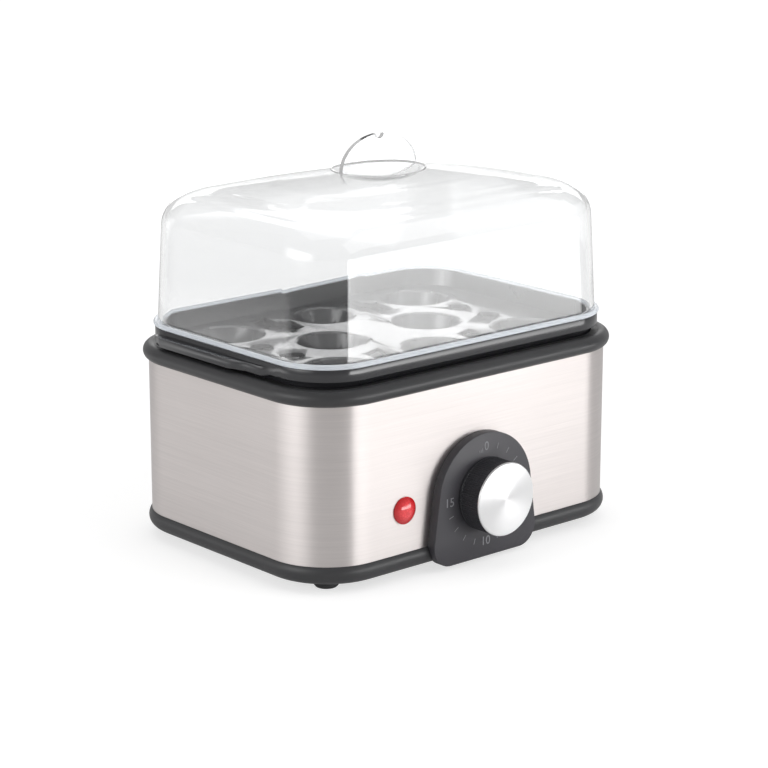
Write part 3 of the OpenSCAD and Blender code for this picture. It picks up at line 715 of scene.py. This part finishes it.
@dataclass
class Housing(Assembly):
    """The base moulding, its feet, the steel wrap, the top ring and the cord's gland."""

    def build(self) -> None:
        """Restores the outer pieces with smooth shading."""
        self.restore("base_pan", SATIN_BLACK, "black_plastic")
        self.restore("top_ring", SATIN_BLACK, "black_plastic")
        self.restore("body_band", BRUSHED_WRAP, "brushed_wrap")
        self.restore("feet", FOOT_RUBBER, "foot_rubber")
        self.restore("cord_gland", SATIN_BLACK, "gland_plastic")

    def dress(self) -> None:
        """Paints the nodes inside the housing."""
        self.paint(ZINC_STEEL, "base_screws", "terminal_screws")
        self.paint(BLOCK_PLASTIC, "terminal_block", "gland_lock")


@dataclass
class Heater(Assembly):
    """The water dish and what heats it from below."""

    def build(self) -> None:
        """Restores the dish, which shows when the tray is out."""
        self.restore("heating_plate", DISH_STEEL, "dish_steel")

    def dress(self) -> None:
        """Paints the heater's nodes."""
        self.paint(SILICONE, "plate_gasket")
        self.paint(CAST_ALUMINIUM, "heat_spreader", "thermostat")
        self.paint(DULL_SHEATH, "heating_element")
        self.paint(CERAMIC, "element_pins", "thermal_fuse")
        self.paint(ZINC_STEEL, "plate_clamps", "clamp_screws", "fuse_strap", "spreader_screws")


@dataclass
class Dial(Assembly):
    """The dial plate with its printed scale, the timer behind it and the lamp.

    Attributes:
        scale_r: radius of the middle of the printed scale.
        scale_drop: how far the scale's centre lies below the knob's axis.
        minutes: how many minutes the scale counts, and how many lie between two numerals.
        minute_turn: degrees from one minute to the next.
        tick: length, width and height of a printed tick.
        small_marks: turn in degrees and length of each small mark before the 0.
        small_width: their width.
        small_inset: how far they lie inside the ticks' circle.
        numeral: height of a numeral's body.
    """

    scale_r: float = 24.5 * MM
    scale_drop: float = 0.4 * MM
    minutes: tuple[int, int] = (15, 5)
    minute_turn: float = 18.0
    tick: Point = (3.0 * MM, 0.36 * MM, 0.06 * MM)
    small_marks: tuple[tuple[float, float], ...] = (
        (-6.8, 2.2 * MM), (-9.2, 1.8 * MM), (-11.6, 1.4 * MM))
    small_width: float = 0.34 * MM
    small_inset: float = 1.6 * MM
    numeral: float = 6.4 * MM

    def build(self) -> None:
        """Builds the plate, its print and the lamp's lens."""
        self.restore("dial_plate", DIAL_BLACK, "dial_plastic", 0.6 * MM)
        self.restore("lamp_lens", RED_LENS_PAINTED_GLOW, "red_lens")
        self.build_print()

    def build_print(self) -> None:
        """Builds the scale: ticks, small marks and numerals, raised by a print's thickness."""
        parts: list[Piece] = []
        last, gap = self.minutes
        for minute in range(last):
            if minute % gap:
                parts.append(self.mark(minute * self.minute_turn, self.scale_r, self.tick))
        for turn, length in self.small_marks:
            size = (length, self.small_width, self.tick[2])
            parts.append(self.mark(turn, self.scale_r - self.small_inset, size))
        for minute in range(0, last + 1, gap):
            parts.append(self.number(str(minute), minute * self.minute_turn))
        deselect()
        for part in parts:
            part.select_set(True)
        bpy.context.view_layer.objects.active = parts[0]
        bpy.ops.object.join()
        piece = bpy.context.object
        piece.name = "dial_print"
        settle(piece)
        self.keep(piece, PRINT_GREY, "dial_plastic")

    def at(self, turn: float, radius: float) -> Point:
        """Gives the place on the dial's face at a turn clockwise from the top and a radius."""
        a = math.radians(turn)
        z = DIAL_Z - self.scale_drop + radius * math.cos(a)
        return (DIAL_X + radius * math.sin(a), DIAL_FRONT, z)

    def mark(self, turn: float, radius: float, size: Point) -> Piece:
        """Adds one printed bar.

        Args:
            turn: its place round the dial, in degrees clockwise from the top.
            radius: its distance from the scale's centre.
            size: its length, width and height.

        Returns:
            The bar.
        """
        deselect()
        lean = (0.0, math.radians(turn), 0.0)
        bpy.ops.mesh.primitive_cube_add(size=1.0, location=self.at(turn, radius), rotation=lean)
        bar = bpy.context.object
        bar.scale = (size[1], size[2] * 2, size[0])
        settle(bar)
        edit(bar)
        bpy.ops.mesh.bevel(offset=min(size) * 0.3, segments=1)
        done()
        return bar

    def number(self, text: str, turn: float) -> Piece:
        """Adds one upright numeral as a mesh.

        Args:
            text: the digits.
            turn: its place round the dial, in degrees clockwise from the top.

        Returns:
            The numeral.
        """
        deselect()
        bpy.ops.object.text_add(location=self.at(turn, self.scale_r), rotation=UPRIGHT)
        numeral = bpy.context.object
        numeral.data.body = text
        numeral.data.size = self.numeral
        numeral.data.align_x = "CENTER"
        numeral.data.align_y = "CENTER"
        numeral.data.extrude = self.tick[2]
        numeral.data.resolution_u = 4
        take(numeral)
        bpy.ops.object.convert(target="MESH")
        return settle(bpy.context.object)

    def dress(self) -> None:
        """Paints the timer and the lamp's inner nodes."""
        self.paint(TIMER_CASE, "timer_body")
        self.paint(ZINC_STEEL, "timer_bell", "timer_screws", "lamp_clip")
        self.paint(BULB_GLASS, "lamp_bulb")


@dataclass
class Knob(Assembly):
    """The ribbed timer knob with its spun cap."""

    body: str = "knob"

    def build(self) -> None:
        """Restores the knob and its cap."""
        self.restore("knob_body", KNOB_BLACK, "knob_plastic", 0.25 * MM, KNOB_CRISP_ANGLE)
        self.restore("knob_cap", SPUN_CAP, "spun_aluminium", 0.15 * MM)

    def dress(self) -> None:
        """Paints the shaft."""
        self.paint(ZINC_STEEL, "timer_shaft")


@dataclass
class Tray(Assembly):
    """The lift-out egg tray."""

    body: str = "tray"

    def build(self) -> None:
        """Restores the tray, with corners that keep its pierced floor whole."""
        self.restore("egg_tray", TRAY_BLACK, "tray_plastic", 0.35 * MM, miter=Miter.SHARP)


@dataclass
class Lid(Assembly):
    """The clear lid: a shell with a crowned top, a finger dish and a grip, and a beaded foot.

    Attributes:
        base: half width and half depth at the wall's foot.
        corner: corner radius.
        corner_steps: how many edges a corner has.
        foot_z: underside of the bead.
        wall_h: height from there to where the shoulder starts.
        shoulder: radius of the shoulder.
        shoulder_turn: how far the shoulder turns, in degrees.
        shoulder_steps: how many levels the shoulder has.
        crown_rings: how many rings the crown has, its middle included.
        shortest_side: outline edges longer than this are cut for the crown.
        crown_cuts: how many times each of them is cut.
        ease_reach: how far the crease is eased below and above itself.
        ease_passes: how many times.
        top_z: highest point of the crown.
        thickness: the wall's thickness.
        draft: lean of the walls in degrees.
        dish: half sizes of the ellipsoid that sinks the finger dish.
        dish_z: height of its centre.
        bead: radius of the foot's bead, and how far its middle stands out from the wall.
        grip: width, height, thickness and sunk depth of the grip.
        notch: radius of the notch in the grip's top.
    """

    body: str = "lid"
    base: tuple[float, float] = (100.1 * MM, 72.6 * MM)
    corner: float = 28.1 * MM
    corner_steps: int = 24
    foot_z: float = 110.31 * MM
    wall_h: float = 50.4 * MM
    shoulder: float = 19.8 * MM
    shoulder_turn: float = 80.0
    shoulder_steps: int = 20
    crown_rings: int = 26
    shortest_side: float = 15 * MM
    crown_cuts: int = 12
    ease_reach: tuple[float, float] = (3.5 * MM, 4 * MM)
    ease_passes: int = 14
    top_z: float = 188.01 * MM
    thickness: float = 2.0 * MM
    draft: float = 2.2
    dish: Point = (28.5 * MM, 25 * MM, 10 * MM)
    dish_z: float = 192.01 * MM
    bead: tuple[float, float] = (1.25 * MM, 0.95 * MM)
    grip: tuple[float, float, float, float] = (49.5 * MM, 16.8 * MM, 2.6 * MM, 9 * MM)
    notch: float = 2.6 * MM

    def build(self) -> None:
        """Builds the solid lid with its grip, hollows it, and adds the bead."""
        lid = self.skin("lid_shell", 0.0)
        combine(lid, self.grip_plate(), Joining.UNION)
        combine(lid, self.skin("lid_hollow", self.thickness), Joining.DIFFERENCE)
        # the bead gets the milky finish whose pale share is painted light
        for piece, finish in ((lid, CLEAR_LID), (self.foot_bead(), LID_RIM_PAINTED_LIGHT)):
            piece.location.y = CENTRE_Y
            settle(piece)
            smooth(piece, LID_CRISP_ANGLE)
            self.keep(piece, finish, "clear_plastic", "egg_lid")

    def rounded_plane(self, half: tuple[float, float], corner: float, z: float) -> Piece:
        """Adds a flat rounded rectangle and leaves it open in edit mode.

        Args:
            half: its half width and half depth.
            corner: its corner radius.
            z: its height.

        Returns:
            The new object.
        """
        deselect()
        bpy.ops.mesh.primitive_plane_add(size=2.0, location=(0.0, 0.0, z))
        piece = bpy.context.object
        piece.scale = (*half, 1.0)
        settle(piece)
        edit(piece)
        bpy.ops.mesh.bevel(offset=corner, segments=self.corner_steps, affect="VERTICES")
        return piece

    def skin(self, name: str, depth: float) -> Piece:
        """Draws the solid under one skin of the lid: wall, shoulder, crown and finger dish.

        Args:
            name: the solid's name.
            depth: how far the skin lies inside the outer one.

        Returns:
            The closed solid, centred on the upright axis.
        """
        lean = math.tan(math.radians(self.draft))
        below = SPARE if depth else 0.0
        half = tuple(b - depth + lean * below for b in self.base)
        piece = self.rounded_plane(half, self.corner - depth, self.foot_z - below)
        piece.name = name
        self.next_level(piece, lean * (self.wall_h + below), self.wall_h + below)
        radius, steps = self.shoulder - depth, self.shoulder_steps
        turns = [math.radians(self.shoulder_turn * k / steps) for k in range(steps + 1)]
        for a, b in zip(turns, turns[1:]):
            inward, up = math.cos(a) - math.cos(b), math.sin(b) - math.sin(a)
            self.next_level(piece, radius * inward, radius * up)
        inset = lean * self.wall_h + depth + radius * (1 - math.cos(turns[-1]))
        rise = self.top_z - depth - self.foot_z - self.wall_h - radius * math.sin(turns[-1])
        self.crown(piece, rise, (self.base[0] - inset) / (self.base[1] - inset))
        self.ease(piece, self.top_z - depth - rise)
        done()
        deselect()
        bpy.ops.mesh.primitive_uv_sphere_add(
            segments=96, ring_count=48, radius=1.0, location=(0.0, 0.0, self.dish_z))
        bowl = bpy.context.object
        bowl.scale = [half_size + depth for half_size in self.dish]
        settle(bowl)
        return combine(piece, bowl, Joining.DIFFERENCE)

    def crown(self, piece: Piece, rise: float, aspect: float) -> None:
        """Extrudes the selected top face into the crown: rings that turn into ellipses.

        Args:
            piece: the mesh in edit mode.
            rise: the crown's height.
            aspect: its width over its depth.
        """
        bpy.ops.mesh.select_mode(type="EDGE")
        mesh = bmesh.from_edit_mesh(piece.data)
        for edge in mesh.edges:
            edge.select = edge.select and edge.calc_length() > self.shortest_side
        mesh.select_flush_mode()
        bmesh.update_edit_mesh(piece.data)
        bpy.ops.mesh.subdivide(number_cuts=self.crown_cuts, ngon=True)
        bpy.ops.mesh.select_mode(type="VERT")
        top = max(vertex.co.z for vertex in bmesh.from_edit_mesh(piece.data).verts)
        pick_vertices(piece, lambda vertex: vertex.co.z > top - HAIR)
        for k in range(self.crown_rings, 1, -1):
            outer, inner = k / self.crown_rings, (k - 1) / self.crown_rings
            share = inner / outer
            step = (0.0, 0.0, rise * (outer * outer - inner * inner))
            bpy.ops.mesh.extrude_region_move(TRANSFORM_OT_translate={"value": step})
            bpy.ops.transform.resize(value=(share, share * aspect, 1.0))
            bpy.ops.transform.tosphere(value=1.0 - share ** 2)
            bpy.ops.transform.resize(value=(1.0, 1.0 / aspect, 1.0))

    def ease(self, piece: Piece, height: float) -> None:
        """Smooths the crease where the crown leaves the shoulder.

        Args:
            piece: the mesh in edit mode.
            height: where the crease lies.
        """
        below, above = self.ease_reach
        pick_vertices(piece, lambda vertex: -below < vertex.co.z - height < above)
        bpy.ops.mesh.vertices_smooth(factor=0.5, repeat=self.ease_passes)

    def next_level(self, piece: Piece, inward: float, up: float) -> None:
        """Extrudes the selected top face to the next level and draws each corner in.

        Args:
            piece: the mesh in edit mode.
            inward: how far each corner moves towards both middle lines.
            up: how far the face rises.
        """
        bpy.ops.mesh.extrude_region_move(TRANSFORM_OT_translate={"value": (0.0, 0.0, up)})
        mesh = bmesh.from_edit_mesh(piece.data)
        top = [v for v in mesh.verts if v.select]
        for sx, sy in ((-1, -1), (-1, 1), (1, -1), (1, 1)):
            for vertex in mesh.verts:
                vertex.select = False
            for vertex in top:
                vertex.select = vertex.co.x * sx > 0 and vertex.co.y * sy > 0
            mesh.select_flush_mode()
            bmesh.update_edit_mesh(piece.data)
            bpy.ops.transform.translate(value=(-sx * inward, -sy * inward, 0.0))
        for vertex in top:
            vertex.select = True
        mesh.select_flush(True)
        bmesh.update_edit_mesh(piece.data)

    def foot_bead(self) -> Piece:
        """Builds the round bead that runs along the wall's foot."""
        radius, out = self.bead
        half = (self.base[0] + out, self.base[1] + out)
        piece = self.rounded_plane(half, self.corner + out, self.foot_z + radius)
        bpy.ops.mesh.delete(type="ONLY_FACE")
        done()
        take(piece)
        bpy.ops.object.convert(target="CURVE")
        ring = bpy.context.object
        ring.data.bevel_depth = radius
        ring.data.bevel_resolution = 5
        take(ring)
        bpy.ops.object.convert(target="MESH")
        ring = bpy.context.object
        ring.name = "lid_rim_painted_light"
        edit(ring)
        bpy.ops.mesh.remove_doubles(threshold=HAIR)
        bpy.ops.mesh.normals_make_consistent(inside=False)
        done()
        return ring

    def grip_plate(self) -> Piece:
        """Builds the upright grip, a half ellipse with a notch in its top."""
        width, height, thick, sunk = self.grip
        rise = height + SPARE
        foot = self.top_z + height - rise
        deselect()
        bpy.ops.mesh.primitive_cylinder_add(
            vertices=96, radius=1.0, depth=thick, rotation=UPRIGHT)
        plate = bpy.context.object
        plate.scale = (width / 2, rise, 1.0)
        plate.location.z = foot
        settle(plate)
        edit(plate)
        bpy.ops.mesh.bisect(
            plane_co=(0.0, 0.0, foot), plane_no=(0.0, 0.0, -1.0), use_fill=True, clear_outer=True)
        pick_vertices(plate, lambda vertex: vertex.co.z < foot + HAIR)
        down = (0.0, 0.0, SPARE - sunk)
        bpy.ops.mesh.extrude_region_move(TRANSFORM_OT_translate={"value": down})
        done()
        deselect()
        bpy.ops.mesh.primitive_cylinder_add(
            vertices=40, radius=self.notch, depth=4 * thick,
            location=(0.0, 0.0, self.top_z + height), rotation=UPRIGHT)
        return combine(plate, settle(bpy.context.object), Joining.DIFFERENCE)


# ---- studio


@dataclass(frozen=True)
class Softbox:
    """One soft studio lamp.

    Attributes:
        name: the lamp's name.
        at: where its middle is.
        azimuth: which way its back points, in degrees anticlockwise from +X, seen from above.
        elevation: how high its back points, in degrees.
        size: its width and height in metres.
        level: the brightness of its face at its two ends, where 1 is white.
        shows: whether reflections show it.
        feather: what share of its face fades out at its sides, its foot and its top.
    """

    name: str
    at: Point
    azimuth: float
    elevation: float
    size: tuple[float, float]
    level: tuple[float, float]
    shows: bool = True
    feather: Point = (0.0, 0.0, 0.0)

    def place(self) -> Piece:
        """Adds the lamp and returns it."""
        a, e = math.radians(self.azimuth), math.radians(self.elevation)
        way = Vector((math.cos(a) * math.cos(e), math.sin(a) * math.cos(e), math.sin(e)))
        deselect()
        bpy.ops.object.light_add(type="AREA", location=self.at)
        lamp = bpy.context.object
        lamp.name = self.name
        lamp.rotation_euler = way.to_track_quat("Z", "Y").to_euler()
        lamp.data.shape = "RECTANGLE"
        lamp.data.size, lamp.data.size_y = self.size
        lamp.data.energy = math.pi * self.size[0] * self.size[1]
        lamp.visible_camera = False
        lamp.visible_glossy = self.shows
        lamp.data.use_nodes = True
        n = Nodes(lamp.data.node_tree)
        place = n.add("NewGeometry")
        ends = n.add("SeparateXYZ")
        n.link(place.outputs["Parametric"], ends.inputs[0])
        glow = next(node for node in lamp.data.node_tree.nodes if node.type == "EMISSION")
        level = n.spread(ends.outputs["X"], *self.level)
        sides, foot, top = self.feather
        across, up = ends.outputs["X"], ends.outputs["Y"]
        far, down = n.math("SUBTRACT", 1.0, across), n.math("SUBTRACT", 1.0, up)
        edges = ((across, sides), (far, sides), (up, foot), (down, top))
        for inward, share in edges:
            if share:
                level = n.math("MULTIPLY", level, n.math("DIVIDE", inward, share, clamp=True))
        n.link(level, glow.inputs["Strength"])
        return lamp


@dataclass
class Studio:
    """The pale floor, the soft lamps, the world and the camera.

    Attributes:
        eye: where the camera is.
        back: which way its back points.
        lens: its focal length in millimetres.
        sensor: its sensor's width in millimetres.
        shift: its shift across and up.
        sight: how far it sees, in metres.
        floor_side: the floor's side in metres.
        floor_y: how far back its middle lies.
        floor_tone: how pale it is.
        floor_glow: its own light close to the cooker and far from it, as the camera sees it.
        floor_fade: the distances between which that changes.
        floor_least: its own light in reflections and on the cooker.
        rear: the level direction that reflections are brightest towards.
        rear_glow: the world's level in reflections, elsewhere and there.
        rear_span: how directly towards the rear each level starts.
        world_least: the world's least level before it is scaled.
        world_scale: scales the world for all but the camera, which sees white.
        boxes: the lamps.
    """

    eye: Point = (-844.38 * MM, -958.28 * MM, 418.53 * MM)
    back: Point = (-0.63480, -0.72690, 0.26202)
    lens: float = 120.96
    sensor: float = 36.0
    shift: tuple[float, float] = (0.00737, 0.01039)
    sight: float = 60.0
    floor_side: float = 14.0
    floor_y: float = 2.0
    floor_tone: float = 0.45
    floor_glow: tuple[float, float] = (0.66, 0.9)
    floor_fade: tuple[float, float] = (0.25, 0.9)
    floor_least: float = 0.26
    rear: Point = (0.656, 0.755, 0.0)
    rear_glow: tuple[float, float] = (0.52, 0.8)
    rear_span: tuple[float, float] = (0.3, 0.9)
    world_least: float = 0.5
    world_scale: float = 0.8
    boxes: tuple[Softbox, ...] = (
        Softbox("softbox_right", (0.48, -0.84, 0.79), 300.0, 36.0, (1.1, 0.8), (1.7, 1.7), False),
        Softbox("softbox_top", (0.11, 0.2, 1.36), 60.0, 80.0, (1.3, 1.3), (1.0, 1.0), False),
        Softbox("softbox_left", (-0.70, 0.06, 0.27), 174.0, 0.0, (0.9, 0.4), (2.4, 4.8),
                feather=(0.4, 0.3, 0.3)),
        Softbox("strip_left", (-0.34, 0.30, 0.036), 127.0, 0.0, (0.56, 0.08), (0.2, 2.1),
                feather=(0.3, 0.0, 0.5)),
        Softbox("strip_right", (0.24, -0.51, 0.075), 294.0, 0.0, (0.64, 0.15), (7.0, 3.5),
                feather=(0.02, 0.0, 0.5)),
        Softbox("strip_back", (0.24, 0.28, 0.19), 49.0, 0.0, (0.42, 0.09), (1.3, 1.3)))

    def build(self) -> None:
        """Builds the whole set."""
        self.add_floor()
        self.add_world()
        for box in self.boxes:
            log.info("%s placed", box.place().name)
        self.add_camera()
        bpy.context.scene.view_settings.view_transform = "Standard"

    def add_floor(self) -> None:
        """Adds the floor: white to the camera, with the cooker's own soft shadow on it."""
        deselect()
        bpy.ops.mesh.primitive_plane_add(size=self.floor_side, location=(0.0, self.floor_y, 0.0))
        floor = settle(bpy.context.object)
        floor.name = "floor"
        made, n, out = start_material("pale_floor")
        matt = n.add("BsdfDiffuse")
        matt.inputs["Color"].default_value = (*[self.floor_tone] * 3, 1)
        glow = n.add("Emission")
        path = n.add("LightPath")
        seen = n.math("MAXIMUM", path.outputs["Is Camera Ray"], path.outputs["Is Transmission Ray"])
        place = n.add("TexCoord")
        away = n.add("VectorMath", operation="LENGTH")
        n.link(place.outputs["Object"], away.inputs[0])
        glows = n.spread(away.outputs["Value"], *self.floor_glow, *self.floor_fade)
        pale = n.math("MULTIPLY", seen, glows)
        n.link(n.math("MAXIMUM", pale, self.floor_least), glow.inputs["Strength"])
        both = n.add("AddShader")
        n.link(matt.outputs[0], both.inputs[0])
        n.link(glow.outputs[0], both.inputs[1])
        n.link(both.outputs[0], out.inputs["Surface"])
        floor.data.materials.append(made)

    def add_world(self) -> None:
        """Sets the world: white to the camera, and paler towards the rear in reflections."""
        world = bpy.data.worlds.new("studio")
        bpy.context.scene.world = world
        world.use_nodes = True
        world.node_tree.nodes.clear()
        n = Nodes(world.node_tree)
        out = n.add("OutputWorld")
        path = n.add("LightPath")
        sky = n.add("Background")
        sky.inputs["Color"].default_value = (1.0, 1.0, 1.0, 1.0)
        way = n.add("TexCoord")
        rear = n.add("VectorMath", operation="DOT_PRODUCT")
        rear.inputs[1].default_value = self.rear
        n.link(way.outputs["Generated"], rear.inputs[0])
        glow = n.spread(rear.outputs["Value"], *self.rear_glow, *self.rear_span)
        shiny = n.math("MULTIPLY", path.outputs["Is Glossy Ray"], glow)
        lit = n.math("MAXIMUM", path.outputs["Is Transmission Ray"], shiny)
        lit = n.math("MULTIPLY", n.math("MAXIMUM", lit, self.world_least), self.world_scale)
        level = n.math("MAXIMUM", path.outputs["Is Camera Ray"], lit)
        n.link(level, sky.inputs["Strength"])
        n.link(sky.outputs[0], out.inputs["Surface"])

    def add_camera(self) -> None:
        """Adds the camera and makes it the scene's."""
        deselect()
        bpy.ops.object.camera_add(location=self.eye)
        camera = bpy.context.object
        camera.rotation_euler = Vector(self.back).to_track_quat("Z", "Y").to_euler()
        camera.data.lens = self.lens
        camera.data.sensor_width = self.sensor
        camera.data.shift_x, camera.data.shift_y = self.shift
        camera.data.clip_end = self.sight
        bpy.context.scene.camera = camera


def main() -> None:
    """Builds the set and the cooker."""
    logging.basicConfig(level=logging.INFO, format="%(name)s %(message)s")
    Studio().build()
    for assembly in (Housing(), Heater(), Dial(), Knob(), Tray(), Lid()):
        assembly.build()
        assembly.dress()
        log.info("%s done: %s", type(assembly).__name__, ", ".join(assembly.made))


if __name__ == "__main__":
    main()
